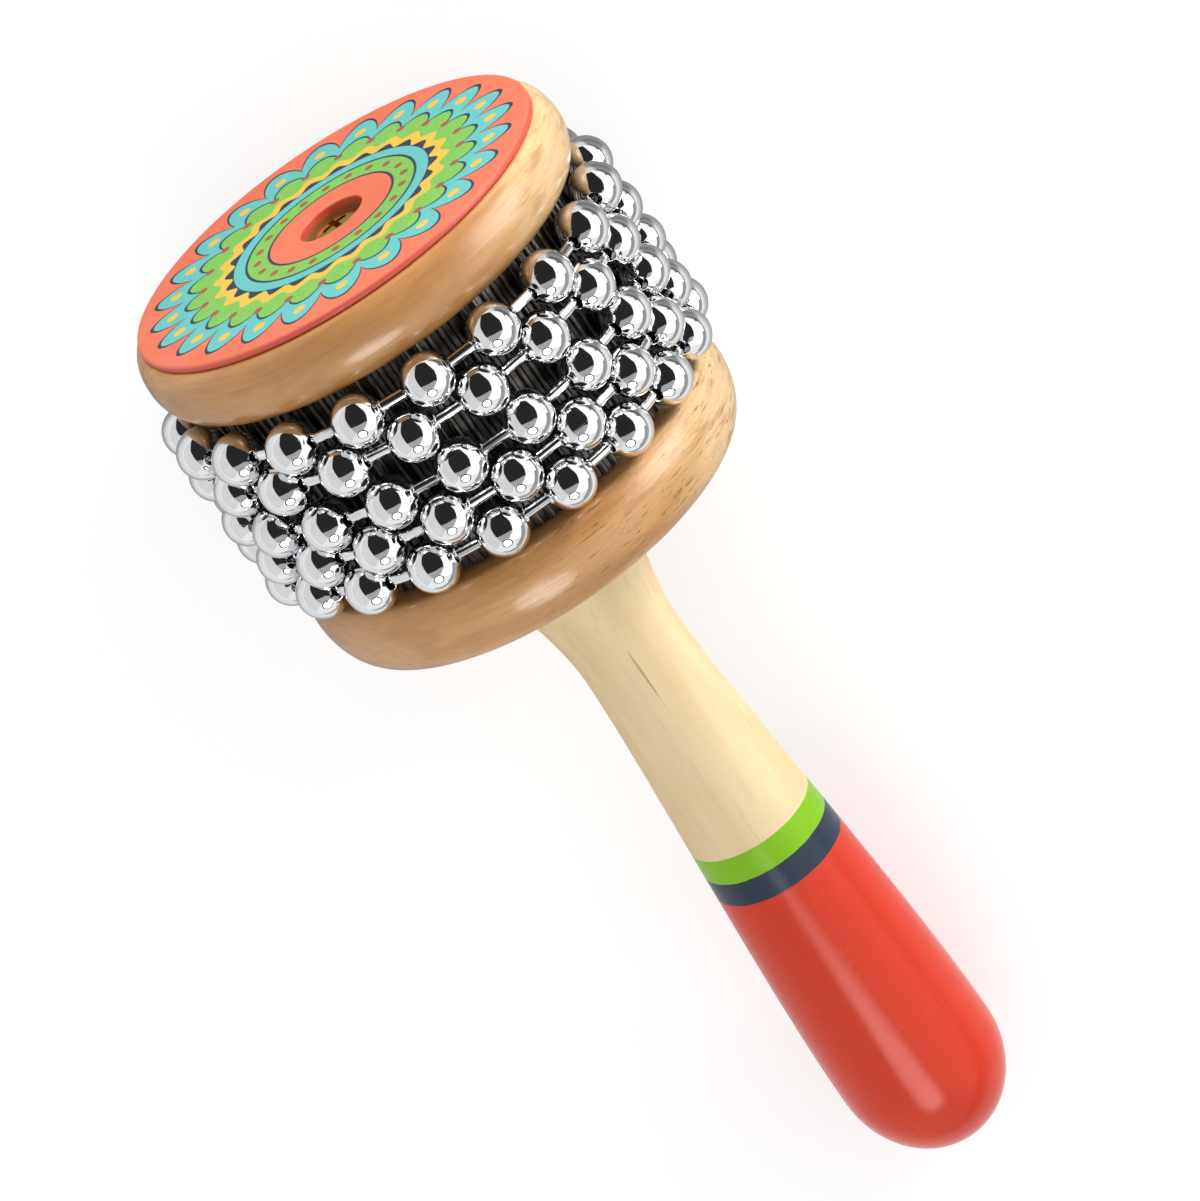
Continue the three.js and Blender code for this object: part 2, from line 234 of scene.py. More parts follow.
butt = axis_point + AXIS * min((corner - axis_point).dot(AXIS) for corner in corners_of("handle"))
PLACE = Matrix.Translation(butt) @ TURN.to_4x4()
INTO_DRUM = PLACE.inverted()


def span(node):
    """Where a node starts and ends along the axis."""
    heights = [(INTO_DRUM @ corner).z for corner in corners_of(node)]
    return min(heights), max(heights)


def reach(node):
    """How far a node goes out from the axis."""
    return max((INTO_DRUM @ corner).xy.length for corner in corners_of(node))


def add_camera():
    face = butt + AXIS * span("face_plate")[1]
    above = -FLOOR_SIDE * math.cos(CAMERA_LEAN) - SIDE * math.sin(CAMERA_LEAN)
    aside = above.cross(AXIS)
    eye = face + AXIS * CAMERA_BEFORE_FACE + above * CAMERA_ABOVE_AXIS
    aim = face - AXIS * CAMERA_AIM_BEHIND_FACE + aside * CAMERA_AIM_ASIDE
    back = (eye - aim).normalized()
    handle_way = (-AXIS + back * AXIS.dot(back)).normalized()
    across = back.cross(handle_way)
    right = handle_way * math.cos(CAMERA_AXIS_ANGLE) + across * math.sin(CAMERA_AXIS_ANGLE)
    camera = bpy.data.objects.new("Camera", bpy.data.cameras.new("Camera"))
    facing = Matrix((right, back.cross(right), back)).transposed()
    camera.matrix_world = Matrix.Translation(eye) @ facing.to_4x4()
    camera.data.sensor_fit = "HORIZONTAL"
    camera.data.sensor_width = SENSOR_WIDTH
    camera.data.lens = CAMERA_LENS
    camera.data.clip_start = 0.01
    camera.data.clip_end = 100
    bpy.context.scene.collection.objects.link(camera)
    bpy.context.scene.camera = camera
    return camera


camera = add_camera()
IMAGE_RIGHT = camera.matrix_world.col[0].xyz


class Term:
    """A number inside a material, so that its arithmetic can be written as a formula."""

    def __init__(self, make, socket):
        self.make = make
        self.socket = socket

    def math(self, operation, *others):
        return self.make.math(operation, self, *others)

    def __add__(self, other):
        return self.math("ADD", other)

    def __sub__(self, other):
        return self.math("SUBTRACT", other)

    def __mul__(self, other):
        return self.math("MULTIPLY", other)

    def __truediv__(self, other):
        return self.math("DIVIDE", other)

    def ramp(self, low, high):
        """0 below low, 1 above high, a smooth step between; the other way round if low is the greater."""
        flipped = low > high
        made = self.make.add("ShaderNodeMapRange", interpolation_type="SMOOTHSTEP")
        self.make.feed(made.inputs["Value"], self)
        self.make.feed(made.inputs["From Min"], min(low, high))
        self.make.feed(made.inputs["From Max"], max(low, high))
        self.make.feed(made.inputs["To Min"], 1.0 if flipped else 0.0)
        self.make.feed(made.inputs["To Max"], 0.0 if flipped else 1.0)
        return Term(self.make, made.outputs["Result"])


class Finish:
    """A material under construction."""

    def __init__(self, name):
        self.material = bpy.data.materials.new(name)
        self.material.use_nodes = True
        self.tree = self.material.node_tree
        self.surface = self.tree.nodes["Principled BSDF"]

    def add(self, kind, **settings):
        made = self.tree.nodes.new(kind)
        for name, value in settings.items():
            setattr(made, name, value)
        return made

    def feed(self, socket, value):
        if isinstance(value, Term):
            value = value.socket
        if isinstance(value, bpy.types.NodeSocket):
            self.tree.links.new(value, socket)
        else:
            socket.default_value = value

    def math(self, operation, *values):
        made = self.add("ShaderNodeMath", operation=operation)
        for socket, value in zip(made.inputs, values):
            self.feed(socket, value)
        return Term(self, made.outputs[0])

    def drum_space(self):
        """Coordinates in the drum's own frame."""
        place = self.add("ShaderNodeMapping", vector_type="TEXTURE")
        self.feed(place.inputs["Vector"], self.add("ShaderNodeTexCoord").outputs["Object"])
        self.feed(place.inputs["Location"], butt)
        self.feed(place.inputs["Rotation"], TURN.to_euler())
        return place.outputs["Vector"]

    def stretched(self, vector, scale):
        made = self.add("ShaderNodeMapping")
        self.feed(made.inputs["Vector"], vector)
        self.feed(made.inputs["Scale"], scale)
        return made.outputs["Vector"]

    def parts(self, vector):
        made = self.add("ShaderNodeSeparateXYZ")
        self.feed(made.inputs[0], vector)
        return [Term(self, socket) for socket in made.outputs]

    def noise(self, vector, scale, detail=3.0, roughness=0.55, distortion=0.0):
        made = self.add("ShaderNodeTexNoise")
        self.feed(made.inputs["Vector"], vector)
        self.feed(made.inputs["Scale"], scale)
        self.feed(made.inputs["Detail"], detail)
        self.feed(made.inputs["Roughness"], roughness)
        self.feed(made.inputs["Distortion"], distortion)
        return Term(self, made.outputs[0])

    def mix(self, factor, first, second):
        made = self.add("ShaderNodeMix", data_type="RGBA")
        colours = [socket for socket in made.inputs if socket.type == "RGBA"]
        self.feed(made.inputs[0], factor)
        self.feed(colours[0], first)
        self.feed(colours[1], second)
        return next(socket for socket in made.outputs if socket.type == "RGBA")

    def bump(self, height, strength, distance):
        made = self.add("ShaderNodeBump")
        self.feed(made.inputs["Strength"], strength)
        self.feed(made.inputs["Distance"], distance)
        self.feed(made.inputs["Height"], height)
        self.feed(self.surface.inputs["Normal"], made.outputs["Normal"])

    def done(self, **inputs):
        for name, value in inputs.items():
            self.feed(self.surface.inputs[name.replace("_", " ")], value)
        return self.material


def handle_finish():
    """Pale satin wood, with crisp green and navy bands and a gloss red butt."""
    make = Finish("Painted handle")
    space = make.drum_space()
    low, side, station = make.parts(space)
    cloud = make.noise(make.stretched(space, (1, 1, 0.22)), 120, 4)
    fibre = make.noise(make.stretched(space, (1, 1, 0.03)), 900, 5, 0.6)
    colour = make.mix(cloud.ramp(0.32, 0.72), WOOD, WOOD_CLOUD)
    colour = make.mix(fibre.ramp(0.5, 0.76) * 0.42, colour, WOOD_FIBRE)
    streak_length = (station - STREAK_STATION) / STREAK_HALF_LENGTH
    streak_width = (side - STREAK_SIDE) / STREAK_HALF_WIDTH + (fibre - 0.5) * 1.5
    streak = (streak_length * streak_length + streak_width * streak_width).ramp(1.0, 0.25)
    streak = streak * low.ramp(0.001, -0.001) * fibre.ramp(0.3, 0.55)
    colour = make.mix(streak * 0.6, colour, WOOD_STREAK)
    ripple = make.noise(space, 260, 3)
    edge = station + (ripple - 0.5) * PAINT_WANDER
    paint = edge.ramp(GREEN_END + PAINT_BLUR, GREEN_END - PAINT_BLUR)
    patch = make.noise(make.stretched(space, (1, 1, 3)), 160, 4)
    colour = make.mix(paint, colour, make.mix(patch * 0.25, GREEN, GREEN_PATCH))
    scuff = make.noise(make.stretched(space, (1, 0.25, 1)), 1500, 5, 0.7)
    scuffed = scuff.ramp(0.68, 0.75) * patch.ramp(0.5, 0.62)
    navy = make.mix(scuffed * 0.5, NAVY, NAVY_SCUFF)
    colour = make.mix(edge.ramp(NAVY_END + PAINT_BLUR, NAVY_END - PAINT_BLUR), colour, navy)
    red = make.mix(patch * 0.35, RED, RED_PATCH)
    colour = make.mix(edge.ramp(RED_END + PAINT_BLUR, RED_END - PAINT_BLUR), colour, red)
    turning = make.noise(make.stretched(space, (0.06, 0.06, 1)), 2200, 3, 0.6)
    make.bump(turning * paint * 0.3 + fibre * 0.7, 0.12, 0.0002)
    return make.done(
        Base_Color=colour,
        Roughness=(cloud - 0.5) * 0.2 + turning * 0.1 + 0.42 - paint * 0.23,
        Specular_IOR_Level=0.28,
    )


def disc_finish():
    """Lacquered beech with fine grain and, on the lower disc, short dark flecks; painted light makes one
    side paler and painted shade darkens the screw well.
    """
    make = Finish("Lacquered beech")
    space = make.drum_space()
    low, side, station = make.parts(space)
    radius = (low * low + side * side).math("SQRT")
    rim = make.add("ShaderNodeCombineXYZ")
    make.feed(rim.inputs["X"], side.math("ARCTAN2", low * -1.0) * DISC_FACE_RADIUS)
    make.feed(rim.inputs["Y"], radius)
    make.feed(rim.inputs["Z"], station)
    along = rim.outputs["Vector"]
    broad = make.noise(make.stretched(space, (1, 0.12, 1.6)), 70, 4, 0.6, 0.6)
    rings = make.noise(make.stretched(space, (0.35, 0.05, 1.8)), 420, 3, 0.5, 0.3)
    fibre = make.noise(make.stretched(along, (0.05, 1, 1)), 3000, 4, 0.65)
    dash = make.noise(make.stretched(along, (0.15, 0.5, 1)), 2300, 2, 0.4)
    colour = make.mix(broad.ramp(0.3, 0.7), BEECH, BEECH_CLOUD)
    # Painted light: the side towards the picture's right is painted paler, as the lamps light it.
    colour = make.mix(side.ramp(-0.02, -0.038) * 0.85, colour, BEECH_PAINTED_LIGHT)
    colour = make.mix(rings.ramp(0.5, 0.7) * 0.55, colour, BEECH_RING)
    colour = make.mix(fibre.ramp(0.45, 0.72) * 0.48, colour, BEECH_FIBRE)
    flecked = station.ramp(span("upper_disc")[0], span("lower_disc")[1]) * side.ramp(0.016, -0.012)
    colour = make.mix(dash.ramp(0.64, 0.68) * flecked * 0.7, colour, BEECH_FLECK)
    # Painted shade: the wall of the screw well is darkened.
    bore_shade = radius.ramp(SCREW_WELL_RADIUS + 0.0003, SCREW_WELL_RADIUS + 0.0001)
    colour = make.mix(bore_shade * 0.4, colour, BEECH_BORE_SHADE)
    make.bump(fibre * 0.8 + rings, 0.12, 0.0002)
    return make.done(
        Base_Color=colour,
        Roughness=fibre * 0.16 + rings * 0.06 + 0.18,
        Coat_Weight=0.25,
        Coat_Roughness=0.1,
    )


def core_finish():
    make = Finish("Bare core wood")
    space = make.drum_space()
    grain = make.noise(make.stretched(space, (1, 1, 0.08)), 700, 4, 0.6)
    colour = make.mix(grain.ramp(0.35, 0.7), CORE, CORE_GRAIN)
    make.bump(grain, 0.2, 0.0003)
    return make.done(Base_Color=colour, Roughness=grain * 0.2 + 0.6)


def face_finish():
    """Red lacquer with a printed rosette: scalloped, waved and dotted rings round a plain middle."""
    make = Finish("Printed red lacquer")
    space = make.drum_space()
    low, side, station = make.parts(space)
    radius = (low * low + side * side).math("SQRT") * 1000.0
    angle = side.math("ARCTAN2", low)
    grain = make.noise(make.stretched(space, (1, 0.1, 1)), 800, 4, 0.6)
    cloud = make.noise(space, 90, 3)
    speck = make.noise(space, 2400, 2, 0.6)

    def wave(count, turn=0.0):
        return (angle * float(count) + turn).math("COSINE")

    def dots(count, ring, size, turn=0.0):
        """How far a point lies from the nearest of a ring of round dots, less the size of a dot."""
        share = 2 * math.pi / count
        offset = (angle + turn).math("PINGPONG", share / 2)
        across = offset * radius
        out = radius - ring
        return (across * across + out * out).math("SQRT") - size

    def lay(colour, distance, ink):
        """Ink where the distance is below zero."""
        return make.mix(distance.ramp(PRINT_BLUR, -PRINT_BLUR), colour, ink)

    high = span("face_plate")[1]
    top = station.ramp(high - PLATE_EDGE, high - PLATE_HOLE_EDGE)
    red = make.mix(cloud.ramp(0.3, 0.7), FACE_RED, FACE_RED_CLOUD)
    leaf = make.mix(speck.ramp(0.45, 0.65), LEAF, LEAF_SPECK)
    sky = make.mix(speck.ramp(0.5, 0.7), TURQUOISE, TURQUOISE_SPECK)
    scallop = wave(SCALLOP_WAVES).math("ABSOLUTE").math("POWER", SCALLOP_ROUNDNESS)
    ripple = wave(WAVES, math.pi) * WAVE_RISE
    colour = lay(red, radius - scallop * PETAL_RISE - PETAL_LINE, NAVY)
    colour = lay(colour, radius - scallop * PETAL_RISE - PETAL_RING, sky)
    colour = lay(colour, radius - scallop * LEAF_RISE - LEAF_LINE, NAVY)
    colour = lay(colour, radius - scallop * LEAF_RISE - LEAF_RING, leaf)
    colour = lay(colour, dots(PETAL_DOTS, PETAL_DOT_RING, PETAL_DOT_SIZE), YELLOW)
    colour = lay(colour, radius - ripple - YELLOW_WAVE, YELLOW)
    colour = lay(colour, radius - ripple - NAVY_WAVE, NAVY)
    colour = lay(colour, radius - SKY_RING, sky)
    colour = lay(colour, dots(LEAF_DOTS, LEAF_DOT_RING, LEAF_DOT_SIZE, math.pi / LEAF_DOTS), BROWN)
    colour = lay(colour, radius - BEAD_LINE, NAVY)
    colour = lay(colour, radius - BEAD_RING, leaf)
    colour = lay(colour, dots(BEADS, BEAD_DOT_RING, BEAD_DOT_SIZE), BROWN)
    colour = lay(colour, radius - MIDDLE_LINE, NAVY)
    colour = lay(colour, radius - MIDDLE_RING, red)
    colour = make.mix(top, make.mix(cloud, FACE_EDGE, FACE_EDGE_CLOUD), colour)
    make.bump(grain, 0.05, 0.0002)
    return make.done(
        Base_Color=colour,
        Roughness=grain * 0.1 + cloud * 0.12 + 0.3,
        Specular_IOR_Level=0.6,
    )


def metal_finish(name, colour, worn, smooth, rough, scale):
    """Bright metal with faint smears and fine scratches."""
    make = Finish(name)
    space = make.drum_space()
    smear = make.noise(space, scale, 4, 0.6)
    scratch = make.noise(make.stretched(space, (1, 0.06, 1)), scale * 14, 3, 0.6)
    tone = make.mix(smear.ramp(0.35, 0.75), colour, worn)
    make.bump(scratch, 0.03, 0.00005)
    return make.done(
        Base_Color=tone,
        Metallic=1.0,
        Roughness=smear.ramp(0.3, 0.75) * (rough - smooth) + smooth,
    )


def turned(name, profile, place, sides, seam=None, crease=CREASE):
    """A solid turned about its own z from (radius, height) points.

    A profile that ends where it starts is a ring. A seam (width in radians, depth) is a groove along it."""
    angles = [2 * math.pi * step / sides for step in range(sides)]
    pulls = [0.0] * sides
    if seam:
        edges = [seam[0] / 2, seam[0] * 1.5]
        plain = [angle for angle in angles if edges[1] < angle < 2 * math.pi - edges[1]]
        angles = [0.0] + edges + plain + [2 * math.pi - edge for edge in reversed(edges)]
        pulls = [seam[1]] + [0.0] * (len(angles) - 1)
    ring = profile[0] == profile[-1]
    shape = bmesh.new()
    rows = []
    for radius, height in profile[:-1] if ring else profile:
        if radius == 0:
            rows.append([shape.verts.new((0, 0, height))])
            continue
        rows.append([
            shape.verts.new(((radius - pull) * math.cos(angle), (radius - pull) * math.sin(angle), height))
            for angle, pull in zip(angles, pulls)
        ])
    pairs = list(zip(rows, rows[1:]))
    if ring:
        pairs.append((rows[-1], rows[0]))
    for lower, upper in pairs:
        for step in range(len(angles)):
            after = (step + 1) % len(angles)
            ends = [lower[step % len(lower)], lower[after % len(lower)]]
            ends += [upper[after % len(upper)], upper[step % len(upper)]]
            shape.faces.new(dict.fromkeys(ends))
    return solid(name, shape, place, crease)


def solid(name, shape, place, crease=CREASE):
    """An object from a finished shape, with its faces turned outwards and its edges creased by angle."""
    bmesh.ops.recalc_face_normals(shape, faces=shape.faces)
    shape.transform(place)
    mesh = bpy.data.meshes.new(name)
    shape.to_mesh(mesh)
    shape.free()
    mesh.shade_smooth()
    mesh.set_sharp_from_angle(angle=math.radians(crease))
    piece = bpy.data.objects.new(name, mesh)
    bpy.context.scene.collection.objects.link(piece)
    return piece


def arc(center, radius, height, start, end, steps):
    """Points of an ellipse's arc round a (radius, height) centre; angles in degrees from straight out."""
    points = []
    for step in range(steps + 1):
        angle = math.radians(start + (end - start) * step / steps)
        points.append((center[0] + radius * math.cos(angle), center[1] + height * math.sin(angle)))
    return points


def bezier(ends, steps):
    """Points of a Bezier curve of any degree, without its first point."""
    points = []
    for step in range(1, steps + 1):
        share = step / steps
        level = ends
        while len(level) > 1:
            pairs = zip(level, level[1:])
            level = [(p[0] + (q[0] - p[0]) * share, p[1] + (q[1] - p[1]) * share) for p, q in pairs]
        points.append(level[0])
    return points


def finished(piece, body, node, material=None):
    """Hands a piece over: it stands for a node, rides on a body and takes a finish."""
    if material:
        piece.data.materials.clear()
        piece.data.materials.append(material)
    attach(piece, body)
    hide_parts(node)


def handle_profile():
    shoulder = span("lower_disc")[0]
    waist = shoulder - HANDLE_WAIST_FROM_DISC
    taper = waist - HANDLE_BUTT_LENGTH
    round_end = arc((0, HANDLE_BUTT_LENGTH), HANDLE_SWELL_RADIUS, HANDLE_BUTT_LENGTH, -90, 0, 24)
    points = [(0, 0)] + round_end[1:]
    points += bezier([
        (HANDLE_SWELL_RADIUS, HANDLE_BUTT_LENGTH),
        (HANDLE_SWELL_RADIUS, HANDLE_BUTT_LENGTH + taper * SWELL_HOLD),
        (HANDLE_WAIST_RADIUS, waist - taper * WAIST_HOLD),
        (HANDLE_WAIST_RADIUS, waist),
    ], 40)
    points += bezier([
        (HANDLE_WAIST_RADIUS, waist),
        (HANDLE_WAIST_RADIUS, shoulder - HANDLE_WAIST_FROM_DISC * FLARE_HOLD),
        (HANDLE_SHOULDER_RADIUS, shoulder),
    ], 16)
    top = span("handle")[1]
    return points + [(TENON_RADIUS, shoulder), (TENON_RADIUS, top), (0, top)]


def rim_profile(node):
    """The outside of a disc, from its back to its face."""
    back, face = span(node)
    bulge = reach(node)
    widest = face - DISC_BULGE_DEPTH
    rounding = bulge - DISC_BACK_RADIUS
    points = arc((DISC_BACK_RADIUS, widest), rounding, widest - back, -90, 0, 14)
    crown = arc((DISC_FACE_RADIUS - DISC_EDGE, widest), bulge - DISC_FACE_RADIUS + DISC_EDGE,
                DISC_BULGE_DEPTH, 0, 90, 12)
    return points + crown[1:]


def lower_disc():
    back, face = span("lower_disc")
    bore = TENON_RADIUS + CORE_GAP
    profile = [(bore, back)] + rim_profile("lower_disc") + [(bore, face), (bore, back)]
    return turned("lower_disc_wood", profile, PLACE, DISC_SIDES)


def upper_disc():
    back, face = span("upper_disc")
    floor = span("screw_washer")[0]
    profile = [(SCREW_BORE_RADIUS, back)] + rim_profile("upper_disc")
    profile += [(SCREW_WELL_RADIUS, face), (SCREW_WELL_RADIUS, floor), (SCREW_BORE_RADIUS, floor)]
    return turned("upper_disc_wood", profile + profile[:1], PLACE, DISC_SIDES)


def face_plate():
    low = span("upper_disc")[1]
    high = span("face_plate")[1]
    radius = reach("face_plate")
    hole = SCREW_WELL_RADIUS
    edge = PLATE_EDGE
    lip = PLATE_HOLE_EDGE
    profile = [(hole, low), (radius - edge, low)]
    profile += arc((radius - edge, low + edge), edge, edge, -90, 0, 4)[1:]
    profile += arc((radius - edge, high - edge), edge, edge, 0, 90, 4)
    profile += arc((hole + lip, high - lip), lip, lip, 90, 180, 4)
    return turned("printed_face", profile + profile[:1], PLACE, DISC_SIDES, crease=PLATE_CREASE)


def drum_core():
    low, high = span("drum_core")
    radius = reach("drum_core")
    top = span("handle")[1] + CORE_GAP
    bore = TENON_RADIUS + CORE_GAP
    profile = [(bore, low), (radius, low), (radius, high)]
    profile += [(SCREW_BORE_RADIUS, high), (SCREW_BORE_RADIUS, top), (bore, top), (bore, low)]
    return turned("wooden_core", profile, PLACE, CORE_SIDES)


def screw_washer():
    low, high = span("screw_washer")
    radius = reach("screw_washer")
    bore = SCREW_BORE_RADIUS
    profile = [(bore, low), (radius, low), (radius, high), (bore, high), (bore, low)]
    return turned("brass_washer", profile, PLACE, SCREW_SIDES)


def center_screw():
    """A countersunk cross-head screw; the cross is cut out of its head."""
    tip, top = span("center_screw")
    under = top - SCREW_HEAD_HEIGHT
    rim = top - SCREW_DOME_HEIGHT
    profile = [(0, tip), (SCREW_SHANK_RADIUS, tip + SCREW_TIP_LENGTH), (SCREW_SHANK_RADIUS, under)]
    profile += [(SCREW_HEAD_RADIUS * 0.8, under), (SCREW_HEAD_RADIUS, rim)]
    profile += arc((0, rim), SCREW_HEAD_RADIUS, SCREW_DOME_HEIGHT, 0, 90, 12)[1:-1] + [(0, top)]
    screw = turned("brass_screw", profile, Matrix(), SCREW_SIDES)
    for turn in (0, 90):
        shape = bmesh.new()
        bmesh.ops.create_cube(shape, size=1)
        scale = Matrix.Diagonal((DRIVE_SPAN, DRIVE_WIDTH, DRIVE_DEPTH * 2, 1))
        spin = Matrix.Rotation(math.radians(turn + DRIVE_TURN), 4, "Z")
        cutter = solid("drive_cutter", shape, Matrix.Translation((0, 0, top)) @ spin @ scale)
        cut = screw.modifiers.new("Drive", "BOOLEAN")
        cut.operation = "DIFFERENCE"
        cut.solver = "EXACT"
        cut.object = cutter
        screw = settled("brass_screw", screw)
        bpy.data.objects.remove(cutter)
    screw.data.transform(PLACE)
    screw.data.set_sharp_from_angle(angle=math.radians(CREASE))
    return screw


def settled(name, piece):
    """The evaluated shape of a piece as a plain mesh; the piece with the modifier is removed."""
    bpy.context.view_layer.update()
    graph = bpy.context.evaluated_depsgraph_get()
    mesh = bpy.data.meshes.new_from_object(piece.evaluated_get(graph))
    bpy.data.objects.remove(piece)
    plain = bpy.data.objects.new(name, mesh)
    mesh.name = name
    bpy.context.scene.collection.objects.link(plain)
    return plain


class Grower:
    """A geometry tree under construction."""

    def __init__(self, name, **inputs):
        self.tree = bpy.data.node_groups.new(name, "GeometryNodeTree")
        for label, kind in inputs.items():
            self.tree.interface.new_socket(label.replace("_", " "), in_out="INPUT", socket_type=kind)
        self.tree.interface.new_socket("Geometry", in_out="OUTPUT", socket_type="NodeSocketGeometry")
        self.given = self.tree.nodes.new("NodeGroupInput").outputs

    def add(self, kind, settings=None, **inputs):
        made = self.tree.nodes.new(kind)
        for name, value in (settings or {}).items():
            setattr(made, name, value)
        for label, value in inputs.items():
            socket = next(s for s in made.inputs if s.enabled and s.name == label.replace("_", " "))
            self.feed(socket, value)
        return next(s for s in made.outputs if s.enabled)

    def feed(self, socket, value):
        if isinstance(value, bpy.types.NodeSocket):
            self.tree.links.new(value, socket)
        else:
            socket.default_value = value

    def math(self, operation, *values):
        made = self.tree.nodes.new("ShaderNodeMath")
        made.operation = operation
        for socket, value in zip(made.inputs, values):
            self.feed(socket, value)
        return made.outputs[0]

    def turn(self, x=0.0, y=0.0, z=0.0):
        return self.add("ShaderNodeCombineXYZ", X=x, Y=y, Z=z)

    def joined(self, *pieces):
        made = self.tree.nodes.new("GeometryNodeJoinGeometry")
        for piece in pieces:
            self.feed(made.inputs[0], piece)
        return made.outputs[0]

    def finish(self, geometry, material):
        plain = self.add("GeometryNodeRealizeInstances", Geometry=geometry)
        painted = self.add("GeometryNodeSetMaterial", Geometry=plain, Material=material)
        self.feed(self.tree.nodes.new("NodeGroupOutput").inputs[0], painted)
        return self.tree

    def around(self, shape, count, radius, roll_seed=None, selection=True):
        """That shape at each of count points of a circle, turned to face outwards."""
        circle = self.add("GeometryNodeMeshCircle", Vertices=count, Radius=radius)
        index = self.add("GeometryNodeInputIndex")
        angle = self.math("DIVIDE", self.math("MULTIPLY", index, 2 * math.pi), count)
        placed = self.add(
            "GeometryNodeInstanceOnPoints", Points=circle, Instance=shape, Rotation=self.turn(z=angle),
            Selection=selection,
        )
        if roll_seed is None:
            return placed
        roll = self.add(
            "FunctionNodeRandomValue", {"data_type": "FLOAT"}, Min=0.0, Max=2 * math.pi, Seed=roll_seed,
        )
        return self.add(
            "GeometryNodeRotateInstances", Instances=placed, Rotation=self.turn(y=roll), Local_Space=True,
        )


def grown(name, tree, **values):
    """The shape that a geometry tree makes, as a plain mesh."""
    host = bpy.data.objects.new(name, bpy.data.meshes.new(name))
    bpy.context.scene.collection.objects.link(host)
    maker = host.modifiers.new("Grow", "NODES")
    maker.node_group = tree
    for item in tree.interface.items_tree:
        label = item.name.replace(" ", "_")
        if item.in_out == "INPUT" and label in values:
            maker[item.identifier] = values[label]
    return settled(name, host)


def row_tree():
    """A closed row of balls joined by pins; the last link is left out for the coupling."""
    make = Grower(
        "Ball chain row", Ball="NodeSocketObject", Pin="NodeSocketObject", Count="NodeSocketInt",
        Ring_Radius="NodeSocketFloat", First_Angle="NodeSocketFloat", Seed="NodeSocketInt",
        Finish="NodeSocketMaterial",
    )
    given = make.given
    ball = make.tree.nodes.new("GeometryNodeObjectInfo")
    make.feed(ball.inputs["Object"], given["Ball"])
    pin = make.tree.nodes.new("GeometryNodeObjectInfo")
    make.feed(pin.inputs["Object"], given["Pin"])
    half_step = make.math("DIVIDE", math.pi, given["Count"])
    balls = make.around(ball.outputs["Geometry"], given["Count"], given["Ring Radius"], given["Seed"])
    chord = make.math("MULTIPLY", given["Ring Radius"], make.math("COSINE", half_step))
    before_last = make.math("SUBTRACT", given["Count"], 1.5)
    linked = make.math("LESS_THAN", make.add("GeometryNodeInputIndex"), before_last)
    pins = make.around(pin.outputs["Geometry"], given["Count"], chord, given["Seed"], linked)
    pins = make.add("GeometryNodeTransform", Geometry=pins, Rotation=make.turn(z=half_step))
    row = make.joined(balls, pins)
    row = make.add("GeometryNodeTransform", Geometry=row, Rotation=make.turn(z=given["First Angle"]))
    return make.finish(row, given["Finish"])


def sleeve_tree():
    """A plain sheet with rounded ribs all round it."""
    make = Grower(
        "Ribbed sleeve", Sheet="NodeSocketObject", Rib="NodeSocketObject", Count="NodeSocketInt",
        Radius="NodeSocketFloat", Finish="NodeSocketMaterial",
    )
    given = make.given
    sheet = make.tree.nodes.new("GeometryNodeObjectInfo")
    make.feed(sheet.inputs["Object"], given["Sheet"])
    rib = make.tree.nodes.new("GeometryNodeObjectInfo")
    make.feed(rib.inputs["Object"], given["Rib"])
    ribs = make.around(rib.outputs["Geometry"], given["Count"], given["Radius"])
    return make.finish(make.joined(sheet.outputs["Geometry"], ribs), given["Finish"])


ALONG_Y = Matrix.Rotation(math.radians(-90), 4, "X")


def chain_ball():
    """A hollow ball with a rolled lip round each mouth and a closing seam."""
    mouth = math.degrees(math.asin((BALL_MOUTH_RADIUS + BALL_LIP * 2) / BALL_RADIUS))
    shell = arc((0, 0), BALL_RADIUS, BALL_RADIUS, mouth - 90, 90 - mouth, 22)
    end = BALL_RADIUS * math.cos(math.radians(mouth))
    lip = [(BALL_MOUTH_RADIUS, end - BALL_LIP * 2), (BALL_MOUTH_RADIUS, end + BALL_LIP * 0.4)]
    lip += [(BALL_MOUTH_RADIUS + BALL_LIP * 0.8, end + BALL_LIP)]
    profile = [(radius, -height) for radius, height in lip] + shell + lip[::-1]
    seam = (BALL_SEAM_WIDTH * 2 / BALL_RADIUS, BALL_SEAM_DEPTH)
    return turned("chain_ball", profile + profile[:1], ALONG_Y, BALL_SIDES, seam, BALL_CREASE)


def chain_pin(length):
    """A pin rolled from strip, with its slit."""
    half = length / 2 + PIN_OVERLAP
    profile = [(0, -half), (PIN_RADIUS, -half), (PIN_RADIUS, half), (0, half)]
    slit = (PIN_SLIT_WIDTH / PIN_RADIUS, PIN_SLIT_DEPTH)
    return turned("chain_pin", profile, ALONG_Y, PIN_SIDES, slit, PIN_CREASE)


def coupling(number, center, length):
    """The crimped tube that closes a row."""
    half = length / 2
    edge = COUPLING_RADIUS * 0.12
    bore = PIN_RADIUS
    outside = arc((COUPLING_RADIUS - edge, half - edge), edge, edge, 0, 90, 4)
    waist = [(COUPLING_WAIST_RADIUS, half * share) for share in (-0.18, 0.0, 0.18)]
    profile = [(bore, -half)] + [(radius, -height) for radius, height in outside[::-1]]
    profile += [(COUPLING_RADIUS, -half * 0.42)] + waist + [(COUPLING_RADIUS, half * 0.42)] + outside
    profile += [(bore, half), (bore, -half)]
    spot = INTO_DRUM @ center
    facing = Matrix.Rotation(math.atan2(spot.y, spot.x), 4, "Z")
    place = PLACE @ Matrix.Translation(spot) @ facing @ ALONG_Y
    return turned(f"row_coupling_{number}", profile, place, COUPLING_SIDES)


